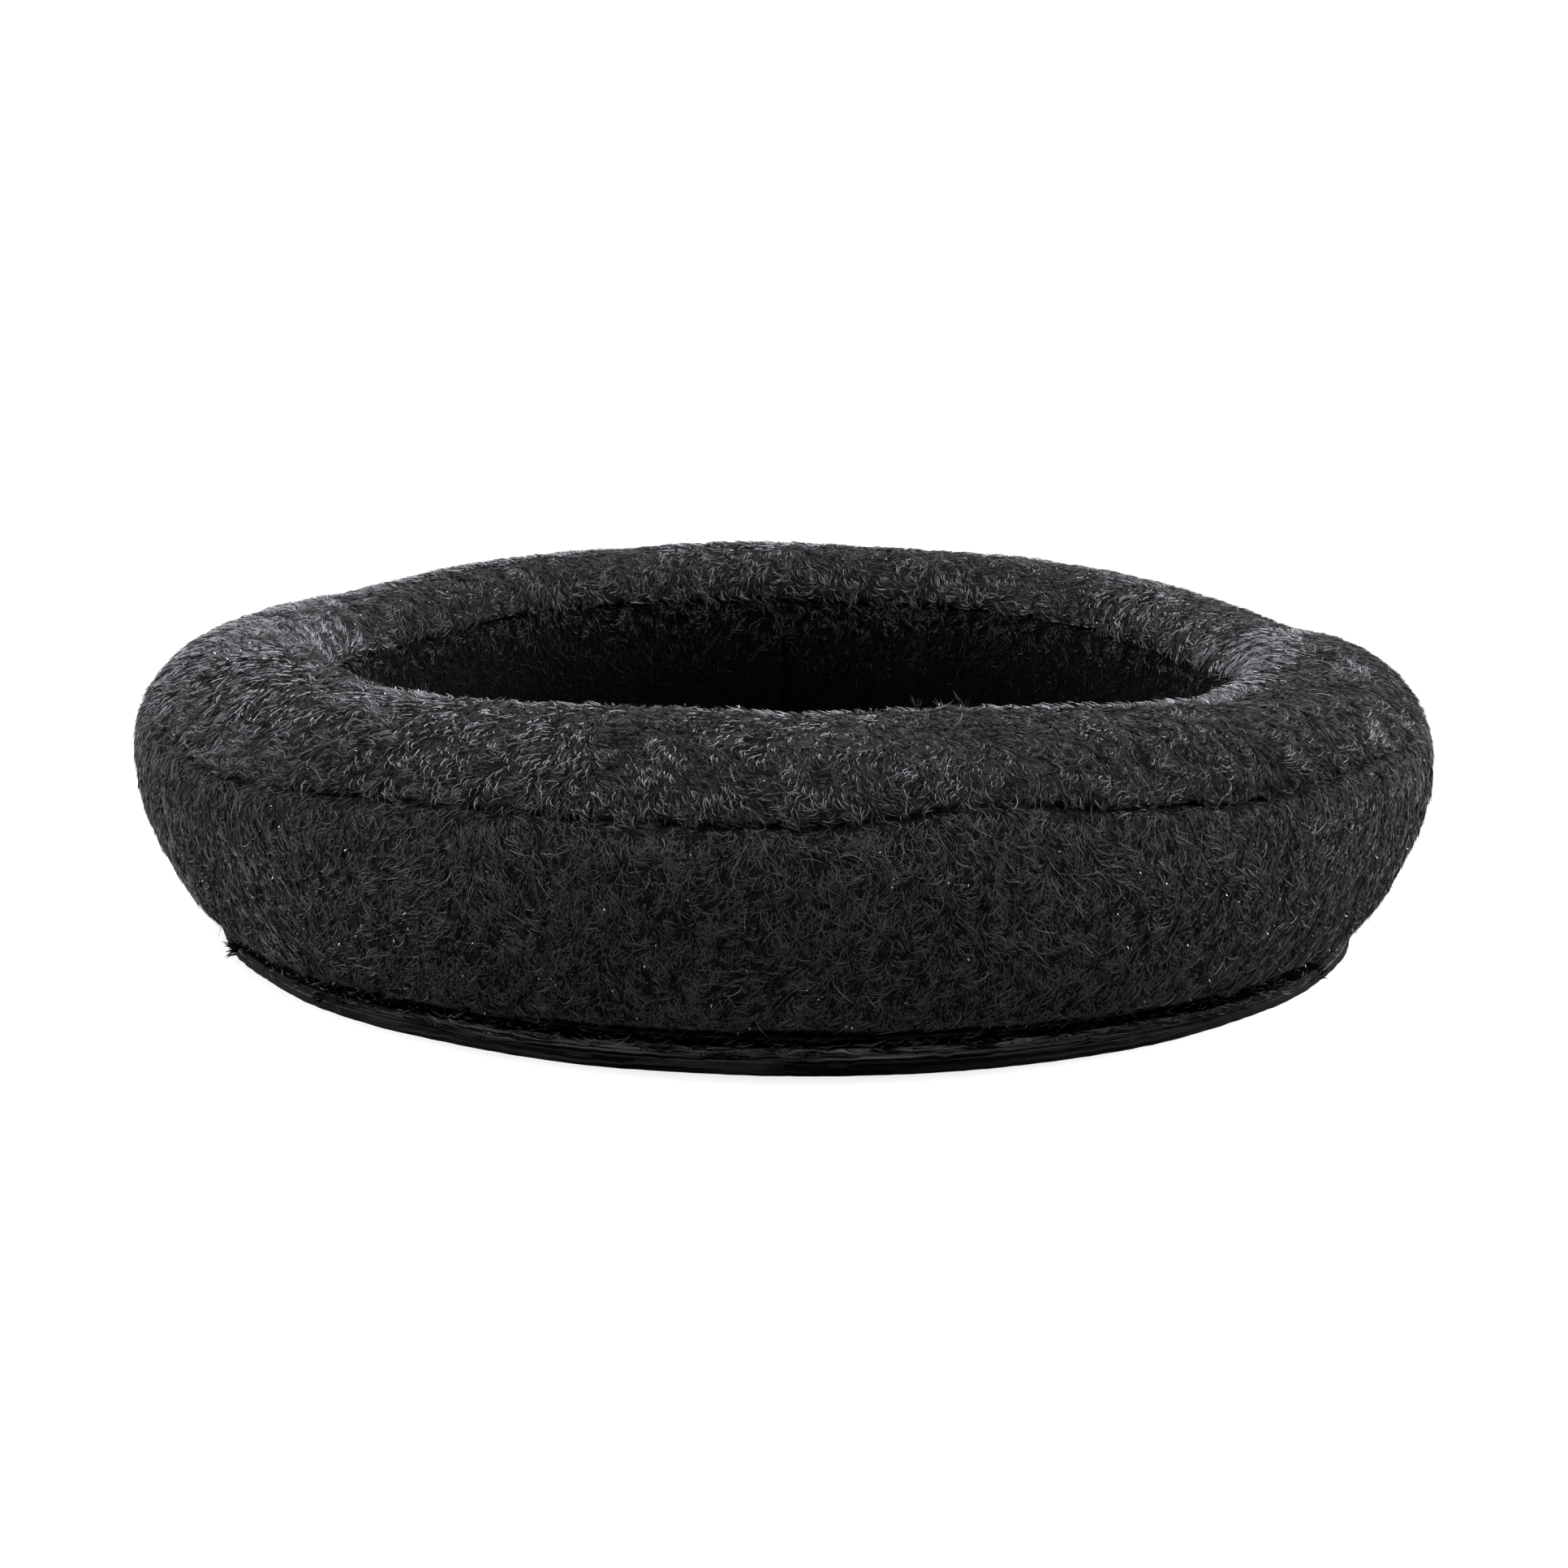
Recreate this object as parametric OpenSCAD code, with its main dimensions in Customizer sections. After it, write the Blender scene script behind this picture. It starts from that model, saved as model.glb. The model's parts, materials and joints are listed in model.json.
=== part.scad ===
// Round over-ear headphone cushion: a foam ring in a sewn microsuede cover. A skirt under its base
// is pulled over the rim of the ear cup. Millimetres, with the ring's axis on Z, the underside of
// the skirt at Z = 0 and the ear on the +Z side. The joins of the two wall strips face +Y.

/* [Ring] */
// Diameter of the cushion at its widest
pad_d = 100; // [88:1:115]
// Height from the underside of the skirt to the crown
pad_h = 22.8; // [20:0.1:28]
// Radial width of the padding, from its widest circle in to its narrowest
ring_w = 15.8; // [14.5:0.1:19]
// How far the crown's circle lies inside the widest circle
crown_in = 10.5; // [9:0.1:11.5]
// How far the widest circle lies below the crown
widest_drop = 8.5; // [6.5:0.1:10.5]
// How far the narrowest circle of the ear opening lies below the crown
waist_drop = 11; // [8:0.1:13]

/* [Seams of the face] */
// How far the outer seam lies below the crown
outer_seam_drop = 4.95; // [4:0.05:6]
// How far the inner seam lies below the crown
inner_seam_drop = 4.2; // [3.6:0.05:5.5]
// How far the inner seam lies outside the narrowest circle
inner_seam_out = 0.75; // [0.2:0.05:1.5]
// Width of the cloth edges that are turned in at a seam
seam_allowance = 4; // [2.5:0.1:4.5]
// Gap between the two cloth edges of a seam
seam_gap = 0.3; // [0.2:0.05:0.6]

/* [Base] */
// How far the foot of the outer wall lies inside the widest circle
foot_in = 7.4; // [6:0.1:9]
// Height of the dark crease between the sewn edge and the bulge above it
crease_h = 0.7; // [0.5:0.05:1.5]
// How far the sewn edge stands out of the wall's foot
flange_w = 1.4; // [1.1:0.05:3]
// How far the edge of the base panel's hole lies outside the narrowest circle
base_hole_out = 1.4; // [0.8:0.1:1.8]
// How far the edge of the skirt's opening lies outside the edge of the base panel's hole
skirt_hole_out = 2.4; // [2:0.1:4]
// Depth of the pocket that the rim of the ear cup slips into, measured at rest
pocket_h = 0.3; // [0.2:0.05:0.4]

/* [Cloth] */
// Thickness of the microsuede of the face and the walls
cloth_t = 0.8; // [0.6:0.05:1]
// Thickness of the stiff base panel
base_panel_t = 0.6; // [0.4:0.05:1.2]
// Thickness of the leatherette skirt at its sewn edge
skirt_t = 0.8; // [0.7:0.05:1.2]
// Gap that the foam keeps from the cloth around it
foam_gap = 0.3; // [0.2:0.05:0.5]

/* [Stitching] */
// Diameter of the sewing thread
thread_d = 0.35; // [0.25:0.01:0.4]
// Length of one stitch
stitch_pitch = 4; // [3:0.1:6]
// How far the stitches of the face's seams lie from the turn of its cloth
stitch_in = 0.5; // [0.3:0.05:1]
// Depth of the cloth edges turned in at the join of a wall strip
join_allowance = 3; // [2.5:0.1:3.5]
// Gap between the two ends of a wall strip at its join
join_gap = 0.2; // [0.1:0.05:0.4]

/* [Hidden] */
$fn = 96;
// Steps along each curve of the outline
steps = 12;
// Cubic handle that makes an ellipse's quarter
round_handle = 0.55;

// The circles of the ring
widest_r = pad_d / 2;
waist_r = widest_r - ring_w;
crown_r = widest_r - crown_in;
foot_r = widest_r - foot_in;
flange_r = foot_r + flange_w;
base_hole_r = waist_r + base_hole_out;
inner_seam_r = waist_r + inner_seam_out;
skirt_hole_r = base_hole_r + skirt_hole_out;

// The levels, from the skirt's underside up
panel_z = skirt_t;
hem_z = panel_z + base_panel_t;
hem_top = hem_z + cloth_t;
crease_top = hem_top + crease_h;
widest_z = pad_h - widest_drop;
waist_z = pad_h - waist_drop;
outer_seam_z = pad_h - outer_seam_drop;
inner_seam_z = pad_h - inner_seam_drop;

// The outline: the lower wall, the upper wall and face, the crown's inner side, and the ear opening
lower_wall = [
    [foot_r + flange_w / 3, crease_top],
    [foot_r + 0.75 * foot_in, crease_top + 0.5],
    [widest_r, widest_z - 0.34 * (widest_z - hem_top)],
    [widest_r, widest_z]
];
upper_wall = [
    [widest_r, widest_z],
    [widest_r, widest_z + round_handle * widest_drop],
    [crown_r + round_handle * crown_in, pad_h],
    [crown_r, pad_h]
];
crown_side = [
    [crown_r, pad_h],
    [crown_r - round_handle * (crown_r - inner_seam_r), pad_h],
    [inner_seam_r, inner_seam_z + round_handle * inner_seam_drop],
    [inner_seam_r, inner_seam_z]
];
throat_top = [
    [inner_seam_r, inner_seam_z],
    [inner_seam_r, inner_seam_z - 0.3 * (inner_seam_z - waist_z)],
    [waist_r, waist_z + 0.35 * (inner_seam_z - waist_z)],
    [waist_r, waist_z]
];
throat_low = [
    [waist_r, waist_z],
    [waist_r, waist_z - 0.3 * (waist_z - hem_z)],
    [base_hole_r, hem_z + 0.3 * (waist_z - hem_z)],
    [base_hole_r, hem_z]
];

// A point of a cubic curve, its direction there, and the point d to the left of it, in the foam
function on(c, t) =
    c[0] * pow(1 - t, 3) + 3 * c[1] * t * pow(1 - t, 2) + 3 * c[2] * t * t * (1 - t) + c[3] * pow(t, 3);
function along(c, t) =
    (c[1] - c[0]) * pow(1 - t, 2) + 2 * (c[2] - c[1]) * t * (1 - t) + (c[3] - c[2]) * t * t;
function inside(c, t, d) =
    let (v = along(c, t)) on(c, t) + d * [-v[1], v[0]] / norm(v);

// Points of a curve from t0 up to t1, without the last one
function run(c, t0, t1, d) =
    [for (i = [0:steps - 1]) inside(c, t0 + (t1 - t0) * i / steps, d)];

// Where a curve, moved d inside, comes to the height z
function t_at(c, z, d, low = 0, high = 1, rounds = 24) =
    let (mid = (low + high) / 2, climbs = c[3][1] > c[0][1])
    rounds == 0 ? mid
    : (inside(c, mid, d)[1] < z) == climbs ? t_at(c, z, d, mid, high, rounds - 1)
    : t_at(c, z, d, low, mid, rounds - 1);

// Edges of the face and of the walls at the two seams
face_outer_z = outer_seam_z + seam_gap / 2;
wall_outer_z = outer_seam_z - seam_gap / 2;
face_inner_z = inner_seam_z + seam_gap / 2;
wall_inner_z = inner_seam_z - seam_gap / 2;
outer_seam_r = on(upper_wall, t_at(upper_wall, outer_seam_z, 0))[0];
outer_edge_r = outer_seam_r - seam_allowance;
inner_edge_r = inner_seam_r + seam_allowance;
inner_hem_r = base_hole_r + seam_allowance;

// Stitch lines, beside the places where the foam side of the face turns into its edges
outer_turn_t = t_at(upper_wall, face_outer_z + cloth_t, cloth_t);
inner_turn_t = t_at(crown_side, face_inner_z + cloth_t, cloth_t);
outer_stitch_r = inside(upper_wall, outer_turn_t, cloth_t)[0] - stitch_in;
inner_stitch_r = inside(crown_side, inner_turn_t, cloth_t)[0] + stitch_in;
base_stitch_r = foot_r + thread_d + 0.15;
inner_base_stitch_r = base_hole_r + (cloth_t + skirt_hole_out) / 2;
// How deep the thread lies in the cloth, and how far its legs stop short of a ply's far face
thread_sink = 0.1;
leg_stop = 0.05;
thread_proud = thread_d - thread_sink;
thread_mid = thread_d / 2 - thread_sink;

// Polygon of the strip between two depths inside a wall, where the ends of its cloth are turned in
function band(parts, near, far) = concat(
    [for (p = parts) each run(p[0], p[1], p[2], near)],
    [inside(parts[1][0], parts[1][2], near), inside(parts[1][0], parts[1][2], far)],
    [for (i = [1:-1:0]) each run(parts[i][0], parts[i][2], parts[i][1], far)],
    [inside(parts[0][0], parts[0][1], far)]
);
outer_join_span = [[lower_wall, 0.3, 1], [upper_wall, 0, 0.1]];
inner_join_span = [[throat_top, 0.3, 1], [throat_low, 0, 0.7]];

// The two cloth ends turned in at a strip's join
module join_ends(span) {
    intersection() {
        rotate_extrude() polygon(band(span, cloth_t / 2, cloth_t + join_allowance));
        union() {
            for (side = [-1, 1])
                translate([side * (join_gap + cloth_t) / 2, widest_r / 2, pad_h / 2])
                    cube([cloth_t, widest_r, pad_h], center = true);
        }
    }
}

// The slit between the two ends of a strip
module join_slit() {
    translate([-join_gap / 2, 0, 0]) cube([join_gap, widest_r + 1, pad_h]);
}

// Room in the foam for the ends of a strip and for the thread on them
module join_room(span) {
    room_w = join_gap + 2 * (cloth_t + thread_d + foam_gap);
    intersection() {
        rotate_extrude() polygon(band(span, 0, cloth_t + join_allowance + foam_gap));
        translate([-room_w / 2, 0, 0]) cube([room_w, widest_r, pad_h]);
    }
}

// Running stitches through both ends of a strip, as one thread
module join_thread(span) {
    depth = cloth_t + join_allowance / 2;
    path = concat(
        run(span[0][0], span[0][1] + 0.1, span[0][2], depth),
        run(span[1][0], span[1][1], span[1][2] - 0.05, depth)
    );
    side_x = join_gap / 2 + cloth_t + thread_d / 2;
    knots = [for (i = [0:3:len(path) - 1]) path[i]];
    for (i = [0:len(knots) - 2])
        hull() {
            turn = i % 2 == 0 ? 1 : -1;
            translate([turn * side_x, knots[i][0], knots[i][1]]) sphere(d = thread_d, $fn = 14);
            translate([-turn * side_x, knots[i + 1][0], knots[i + 1][1]]) sphere(d = thread_d, $fn = 14);
        }
}

// A flat ring
module ring(r_in, r_out, z, h) {
    translate([0, 0, z]) rotate_extrude() translate([r_in, 0]) square([r_out - r_in, h]);
}

// A row of stitches round the ring: the thread is pulled flat on a ply at level z, and its legs,
// thinner than it, reach leg_z
module stitch_ring(r, z, leg_z) {
    count = round(2 * PI * r / stitch_pitch);
    ring(r - thread_d / 2, r + thread_d / 2, z - thread_d / 2, thread_d);
    for (i = [0:count - 1])
        rotate([0, 0, (i + 0.5) * 360 / count])
            translate([r, 0, min(z, leg_z)])
                cylinder(d = thread_d - 0.1, h = abs(z - leg_z), $fn = 24);
}

module face_panel() {
    t_out = t_at(upper_wall, face_outer_z, 0);
    t_in = t_at(crown_side, face_inner_z, 0);
    color("#2b2b2e") rotate_extrude() polygon(concat(
        [[outer_edge_r, face_outer_z]],
        run(upper_wall, t_out, 1, 0),
        run(crown_side, 0, t_in, 0),
        [on(crown_side, t_in), [inner_edge_r, face_inner_z], [inner_edge_r, face_inner_z + cloth_t]],
        run(crown_side, inner_turn_t, 0, cloth_t),
        run(upper_wall, 1, outer_turn_t, cloth_t),
        [inside(upper_wall, outer_turn_t, cloth_t), [outer_edge_r, face_outer_z + cloth_t]]
    ));
}

module outer_wall() {
    t_top = t_at(upper_wall, wall_outer_z, 0);
    t_back = t_at(upper_wall, wall_outer_z - cloth_t, cloth_t);
    color("#242427") difference() {
        union() {
            rotate_extrude() polygon(concat(
                [[flange_r, hem_z], [flange_r, hem_top], [foot_r, hem_top], [foot_r, crease_top]],
                run(lower_wall, 0, 1, 0),
                run(upper_wall, 0, t_top, 0),
                [on(upper_wall, t_top), [outer_edge_r, wall_outer_z]],
                [[outer_edge_r, wall_outer_z - cloth_t]],
                run(upper_wall, t_back, 0, cloth_t),
                run(lower_wall, 1, 0, cloth_t),
                [inside(lower_wall, 0, cloth_t)],
                [[foot_r - cloth_t, crease_top + cloth_t], [foot_r - cloth_t, hem_z]]
            ));
            join_ends(outer_join_span);
        }
        join_slit();
    }
}

module inner_wall() {
    t_top = t_at(throat_top, wall_inner_z, 0);
    t_back = t_at(throat_top, wall_inner_z - cloth_t, cloth_t);
    t_foot = t_at(throat_low, hem_top, cloth_t);
    color("#1c1c1e") difference() {
        union() {
            rotate_extrude() polygon(concat(
                run(throat_top, t_top, 1, 0),
                run(throat_low, 0, 1, 0),
                [[base_hole_r, hem_z], [inner_hem_r, hem_z], [inner_hem_r, hem_top]],
                run(throat_low, t_foot, 0, cloth_t),
                run(throat_top, 1, t_back, cloth_t),
                [inside(throat_top, t_back, cloth_t)],
                [[inner_edge_r, wall_inner_z - cloth_t], [inner_edge_r, wall_inner_z]]
            ));
            join_ends(inner_join_span);
        }
        join_slit();
    }
}

module foam_core() {
    depth = cloth_t + foam_gap;
    room = thread_proud + foam_gap;
    t_foot = t_at(throat_low, hem_top, depth);
    color("#5a5a5c") difference() {
        rotate_extrude() polygon(concat(
            [[foot_r - depth, hem_top], [foot_r - depth, crease_top + depth]],
            run(lower_wall, 0, 1, depth),
            run(upper_wall, 0, 1, depth),
            run(crown_side, 0, 1, depth),
            run(throat_top, 0, 1, depth),
            run(throat_low, 0, t_foot, depth),
            [inside(throat_low, t_foot, depth)]
        ));
        // Room for the cloth edges turned in at the two seams, with their stitches
        ring(
            outer_edge_r - foam_gap, widest_r,
            wall_outer_z - cloth_t - room, seam_gap + 2 * (cloth_t + room)
        );
        ring(
            waist_r, inner_edge_r + foam_gap,
            wall_inner_z - cloth_t - room, seam_gap + 2 * (cloth_t + room)
        );
        // Room for the stitches on the inner hem
        ring(inner_base_stitch_r - room, inner_base_stitch_r + room, hem_top - 1, 1 + room);
        join_room(outer_join_span);
        join_room(inner_join_span);
    }
}

module base_panel() {
    color("#8d8d88") ring(base_hole_r, flange_r, panel_z, base_panel_t);
}

module mounting_skirt() {
    lip_r = foot_r - cloth_t;
    color("#2a2320") rotate_extrude() polygon([
        [skirt_hole_r, 0], [flange_r, 0], [flange_r, skirt_t], [lip_r, skirt_t],
        [lip_r, skirt_t - pocket_h], [skirt_hole_r, skirt_t - pocket_h]
    ]);
}

module outer_seam_needle_thread() {
    color("#151515") stitch_ring(
        outer_stitch_r, face_outer_z + cloth_t + thread_mid, face_outer_z + leg_stop
    );
}

module outer_seam_bobbin_thread() {
    color("#151515") stitch_ring(
        outer_stitch_r, wall_outer_z - cloth_t - thread_mid, wall_outer_z - leg_stop
    );
}

module inner_seam_needle_thread() {
    color("#151515") stitch_ring(
        inner_stitch_r, face_inner_z + cloth_t + thread_mid, face_inner_z + leg_stop
    );
}

module inner_seam_bobbin_thread() {
    color("#151515") stitch_ring(
        inner_stitch_r, wall_inner_z - cloth_t - thread_mid, wall_inner_z - leg_stop
    );
}

module base_seam_needle_thread() {
    color("#151515") stitch_ring(base_stitch_r, hem_top + thread_mid, hem_z - base_panel_t / 2 + leg_stop);
}

module base_seam_bobbin_thread() {
    color("#151515") stitch_ring(base_stitch_r, thread_d / 2 + leg_stop, panel_z + base_panel_t / 2 - leg_stop);
}

module inner_base_needle_thread() {
    color("#151515") stitch_ring(inner_base_stitch_r, hem_top + thread_mid, hem_z + leg_stop);
}

module inner_base_bobbin_thread() {
    color("#151515") stitch_ring(inner_base_stitch_r, panel_z - thread_mid, hem_z - leg_stop);
}

module outer_wall_join_thread() {
    color("#151515") join_thread(outer_join_span);
}

module inner_wall_join_thread() {
    color("#151515") join_thread(inner_join_span);
}

face_panel();
outer_wall();
inner_wall();
foam_core();
base_panel();
mounting_skirt();
outer_seam_needle_thread();
outer_seam_bobbin_thread();
inner_seam_needle_thread();
inner_seam_bobbin_thread();
base_seam_needle_thread();
base_seam_bobbin_thread();
inner_base_needle_thread();
inner_base_bobbin_thread();
outer_wall_join_thread();
inner_wall_join_thread();
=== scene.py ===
import json
import math
import random

import bmesh
import bpy
from mathutils import Euler, Matrix, Vector, noise

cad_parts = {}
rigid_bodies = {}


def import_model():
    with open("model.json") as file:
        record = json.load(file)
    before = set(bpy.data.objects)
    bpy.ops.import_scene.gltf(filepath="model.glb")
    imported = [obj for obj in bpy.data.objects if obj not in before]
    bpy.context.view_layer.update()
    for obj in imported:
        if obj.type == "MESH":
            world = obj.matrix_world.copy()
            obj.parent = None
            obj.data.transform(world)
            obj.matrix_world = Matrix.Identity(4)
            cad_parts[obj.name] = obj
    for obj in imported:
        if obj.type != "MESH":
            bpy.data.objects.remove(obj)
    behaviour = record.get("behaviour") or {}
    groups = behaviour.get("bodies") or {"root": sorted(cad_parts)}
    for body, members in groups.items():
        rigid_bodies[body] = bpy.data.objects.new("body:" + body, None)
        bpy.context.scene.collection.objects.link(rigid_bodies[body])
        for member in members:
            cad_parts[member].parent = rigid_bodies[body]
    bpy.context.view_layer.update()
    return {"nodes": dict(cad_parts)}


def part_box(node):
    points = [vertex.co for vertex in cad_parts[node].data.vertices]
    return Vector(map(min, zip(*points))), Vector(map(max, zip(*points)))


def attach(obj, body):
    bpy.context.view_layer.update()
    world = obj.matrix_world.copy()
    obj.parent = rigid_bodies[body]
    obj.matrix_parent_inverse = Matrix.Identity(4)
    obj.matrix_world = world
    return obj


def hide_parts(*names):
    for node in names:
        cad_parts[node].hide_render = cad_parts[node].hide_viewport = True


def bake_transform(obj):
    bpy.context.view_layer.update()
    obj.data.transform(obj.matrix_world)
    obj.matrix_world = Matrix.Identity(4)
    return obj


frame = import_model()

scene = bpy.context.scene


# ---------------------------------------------------------------- The camera
# It stands close in front of the cushion and looks down on it a little, through a short telephoto
# lens, and it is rolled by less than a degree. Distances are shares of the cushion's radius.

def radii(node):
    """Smallest and largest distance of a CAD node's points from the ring's axis."""
    reach = [v.co.xy.length for v in frame["nodes"][node].data.vertices]
    return min(reach), max(reach)


widest_r = radii("outer_wall")[1]

camera_tilt = math.radians(12.59)
camera_roll = math.radians(0.754)
aim = Vector((0, 0, 0.2 * widest_r))
camera_data = bpy.data.cameras.new("camera")
camera_data.sensor_width = 36
camera_data.lens = 68.7
camera_data.shift_y = -0.0036
camera_data.clip_start = 0.01
camera = bpy.data.objects.new("camera", camera_data)
camera.location = aim + 4.72 * widest_r * Vector((0, -math.cos(camera_tilt), math.sin(camera_tilt)))
facing = Euler((math.pi / 2 - camera_tilt, 0, 0)).to_matrix() @ Matrix.Rotation(camera_roll, 3, "Z")
camera.rotation_euler = facing.to_euler()
scene.collection.objects.link(camera)
scene.camera = camera


# ---------------------------------------------------------------- The floor and the light
# A white table that runs out of sight, in a white room that is brighter in front than behind. The
# table's white is a glow that only the camera sees, painted dimmer under and inside the cushion's
# ring as a painted shadow. Soft lamps hang high behind the cushion and at both sides of it, and
# stand low at its left and right.

def link(piece):
    scene.collection.objects.link(piece)
    return piece


def plain_material(name, colour, roughness, gloss=0.5):
    material = bpy.data.materials.new(name)
    material.use_nodes = True
    shader = material.node_tree.nodes["Principled BSDF"]
    shader.inputs["Base Color"].default_value = (*colour, 1)
    shader.inputs["Roughness"].default_value = roughness
    shader.inputs["Specular IOR Level"].default_value = gloss
    return material


def add_node(tree, kind, values=None, **settings):
    """A node of a tree, with its settings, and values for its inputs by their names."""
    node = tree.nodes.new(kind)
    for key, setting in settings.items():
        setattr(node, key, setting)
    for label, value in (values or {}).items():
        node.inputs[label].default_value = value
    return node


def wire(tree, *pairs):
    """Joins each pair of (output, input) sockets in a tree of nodes."""
    for source, target in pairs:
        tree.links.new(source, target)


floor_mesh = bpy.data.meshes.new("floor")
bm = bmesh.new()
bmesh.ops.create_grid(bm, x_segments=1, y_segments=1, size=60 * widest_r)
bm.to_mesh(floor_mesh)
bm.free()
floor = link(bpy.data.objects.new("floor", floor_mesh))
table = plain_material("white_table_with_painted_shadow", (0.06, 0.06, 0.06), 0.9)
tree = table.node_tree
coords = add_node(tree, "ShaderNodeTexCoord")
distance = add_node(tree, "ShaderNodeVectorMath", operation="LENGTH")
# Painted shadow: the camera-only glow is dimmer under and inside the cushion's ring
glow_with_painted_shadow = add_node(
    tree, "ShaderNodeMapRange",
    {"From Min": 0.8 * widest_r, "From Max": 0.93 * widest_r, "To Min": 0.4, "To Max": 0.95},
)
seen = add_node(tree, "ShaderNodeLightPath")
white = add_node(tree, "ShaderNodeMath", operation="MULTIPLY")
shader = tree.nodes["Principled BSDF"]
shader.inputs["Emission Color"].default_value = (1, 1, 1, 1)
wire(
    tree, (coords.outputs["Object"], distance.inputs[0]), (distance.outputs["Value"], glow_with_painted_shadow.inputs["Value"]),
    (glow_with_painted_shadow.outputs["Result"], white.inputs[0]), (seen.outputs["Is Camera Ray"], white.inputs[1]),
    (white.outputs[0], shader.inputs["Emission Strength"]),
)
floor_mesh.materials.append(table)

world = bpy.data.worlds.new("studio")
world.use_nodes = True
tree = world.node_tree
coords = add_node(tree, "ShaderNodeTexCoord")
place = add_node(tree, "ShaderNodeSeparateXYZ")
walls = add_node(tree, "ShaderNodeMapRange", {"From Min": -1, "To Min": 1.6, "To Max": 0.1})
seen = add_node(tree, "ShaderNodeLightPath")
room = add_node(tree, "ShaderNodeMix", {"B": 1.05})
wire(
    tree, (coords.outputs["Generated"], place.inputs[0]), (place.outputs["Y"], walls.inputs["Value"]),
    (walls.outputs["Result"], room.inputs["A"]), (seen.outputs["Is Camera Ray"], room.inputs["Factor"]),
    (room.outputs["Result"], tree.nodes["Background"].inputs["Strength"]),
)
tree.nodes["Background"].inputs["Color"].default_value = (1, 1, 1, 1)
scene.world = world
scene.view_settings.view_transform = "Standard"


def soft_lamp(name, place, size, power):
    """A square lamp that faces the middle of the cushion. Its place and size are in cushion radii,
    and its power is in watts."""
    lamp = bpy.data.lights.new(name, "AREA")
    lamp.size = size * widest_r
    lamp.energy = power
    holder = link(bpy.data.objects.new(name, lamp))
    holder.location = widest_r * Vector(place)
    holder.rotation_euler = (aim - holder.location).to_track_quat("-Z", "Y").to_euler()


soft_lamp("lamp_behind", (0, 6, 9), 5, 14.5)
soft_lamp("lamp_high_left", (-7, 0, 6), 5, 3.5)
soft_lamp("lamp_high_right", (7, 0, 6), 5, 4.5)
soft_lamp("lamp_low_left", (-8, 2, 1), 4, 6)
soft_lamp("lamp_low_right", (8, 3, 3), 4, 6.5)


# ---------------------------------------------------------------- The foam ring
# A ring of open-cell foam, moulded to the cushion's section, with room for the cloth edges that
# are turned in at the seams. It sits loose in its cover and gives when the face is pressed.

MM = 0.001
cloth_t = 0.8 * MM
foam_gap = 0.3 * MM
flange_r = radii("base_panel")[1]
base_hole_r = radii("base_panel")[0]
foot_r = flange_r - 1.4 * MM
waist_r = radii("inner_wall")[0]
inner_seam_r = radii("face_panel")[0]
pad_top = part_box("face_panel")[1].z
panel_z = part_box("base_panel")[0].z
hem_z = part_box("outer_wall")[0].z
hem_top = hem_z + cloth_t
crease_top = hem_top + 0.7 * MM
face_outer_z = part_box("face_panel")[0].z
wall_outer_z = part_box("outer_wall")[1].z
wall_inner_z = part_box("inner_wall")[1].z
outer_seam_z = (face_outer_z + wall_outer_z) / 2
inner_seam_z = wall_inner_z + (face_outer_z - wall_outer_z) / 2
face_inner_z = 2 * inner_seam_z - wall_inner_z


def level_at(node, chosen):
    """Height and radius of the point of a CAD node that has the extreme radius, or is the highest."""
    points = [(v.co.z, v.co.xy.length) for v in frame["nodes"][node].data.vertices]
    return chosen(points, key=lambda p: p[1])


widest_z = level_at("outer_wall", max)[0]
waist_z = level_at("inner_wall", min)[0]
crown_r = max((v.co.z, v.co.xy.length) for v in frame["nodes"]["face_panel"].data.vertices)[1]
seam_allowance = 4 * MM
round_handle = 0.55

# The section's outline, as cubic curves of (radius, height), the same as the frame's
lower_wall = [
    (foot_r + 0.47 * MM, crease_top),
    (foot_r + 0.75 * (widest_r - foot_r), crease_top + 0.5 * MM),
    (widest_r, widest_z - 0.34 * (widest_z - hem_top)),
    (widest_r, widest_z),
]
upper_wall = [
    (widest_r, widest_z),
    (widest_r, widest_z + round_handle * (pad_top - widest_z)),
    (crown_r + round_handle * (widest_r - crown_r), pad_top),
    (crown_r, pad_top),
]
crown_side = [
    (crown_r, pad_top),
    (crown_r - round_handle * (crown_r - inner_seam_r), pad_top),
    (inner_seam_r, inner_seam_z + round_handle * (pad_top - inner_seam_z)),
    (inner_seam_r, inner_seam_z),
]
throat_top = [
    (inner_seam_r, inner_seam_z),
    (inner_seam_r, inner_seam_z - 0.3 * (inner_seam_z - waist_z)),
    (waist_r, waist_z + 0.35 * (inner_seam_z - waist_z)),
    (waist_r, waist_z),
]
throat_low = [
    (waist_r, waist_z),
    (waist_r, waist_z - 0.3 * (waist_z - hem_z)),
    (base_hole_r, hem_z + 0.3 * (waist_z - hem_z)),
    (base_hole_r, hem_z),
]


def inside(curve, t, depth):
    """The point of a curve at t, moved depth to its left, which is towards the foam."""
    a, b, c, d = (Vector(p) for p in curve)
    point = a * (1 - t) ** 3 + 3 * b * t * (1 - t) ** 2 + 3 * c * t * t * (1 - t) + d * t ** 3
    along = (b - a) * (1 - t) ** 2 + 2 * (c - b) * t * (1 - t) + (d - c) * t * t
    return point + depth * Vector((-along.y, along.x)).normalized()


def run(curve, t0, t1, depth, spacing):
    """Points of a curve from t0 up to t1, about spacing apart, without the last one."""
    ends = [inside(curve, t0 + (t1 - t0) * i / 8, depth) for i in range(9)]
    length = sum((q - p).length for p, q in zip(ends, ends[1:]))
    steps = max(2, round(length / spacing))
    return [inside(curve, t0 + (t1 - t0) * i / steps, depth) for i in range(steps)]


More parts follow.
